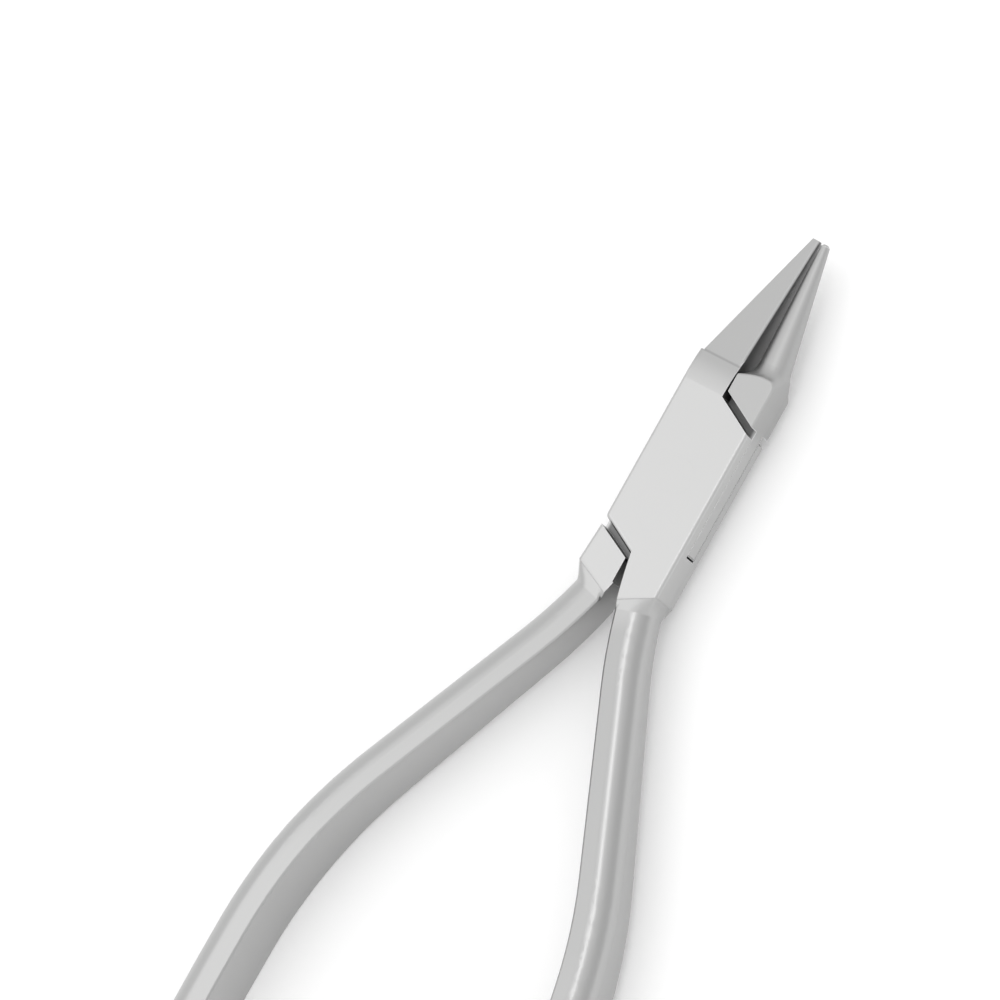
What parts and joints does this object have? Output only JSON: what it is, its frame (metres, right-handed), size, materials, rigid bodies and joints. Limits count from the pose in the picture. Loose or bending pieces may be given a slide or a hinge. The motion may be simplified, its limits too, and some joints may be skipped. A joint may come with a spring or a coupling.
{
  "type": "orthodontic wire-bending pliers",
  "caption": "Slim box-joint pliers with a square beak beside a round beak, for bending orthodontic wire, with bowed D-section handles.",
  "frame": {"origin": "on the pivot's axis, at the back face of the box", "axes": "+Y from the pivot towards the beaks, +X towards the round beak's side, +Z along the pivot's axis, out of the front face; the pliers lie flat and closed"},
  "size_m": [0.0437, 0.1249, 0.0094],
  "materials": {
    "satin_steel": "satin, lightly glass-beaded stainless steel",
    "satin_steel_tongue": "satin, lightly glass-beaded stainless steel",
    "pin_steel": "ground flush and satin finished with the box"
  },
  "bodies": {
    "box_half": {"box_half": "satin_steel", "pivot_pin": "pin_steel"},
    "tongue_half": {"tongue_half": "satin_steel_tongue"}
  },
  "joints": [
    {"name": "beak_opening", "type": "hinge", "parent": "box_half", "child": "tongue_half", "pos_m": [0, 0, 0], "axis": [0, 0, -1], "range_deg": [0, 35]}
  ]
}
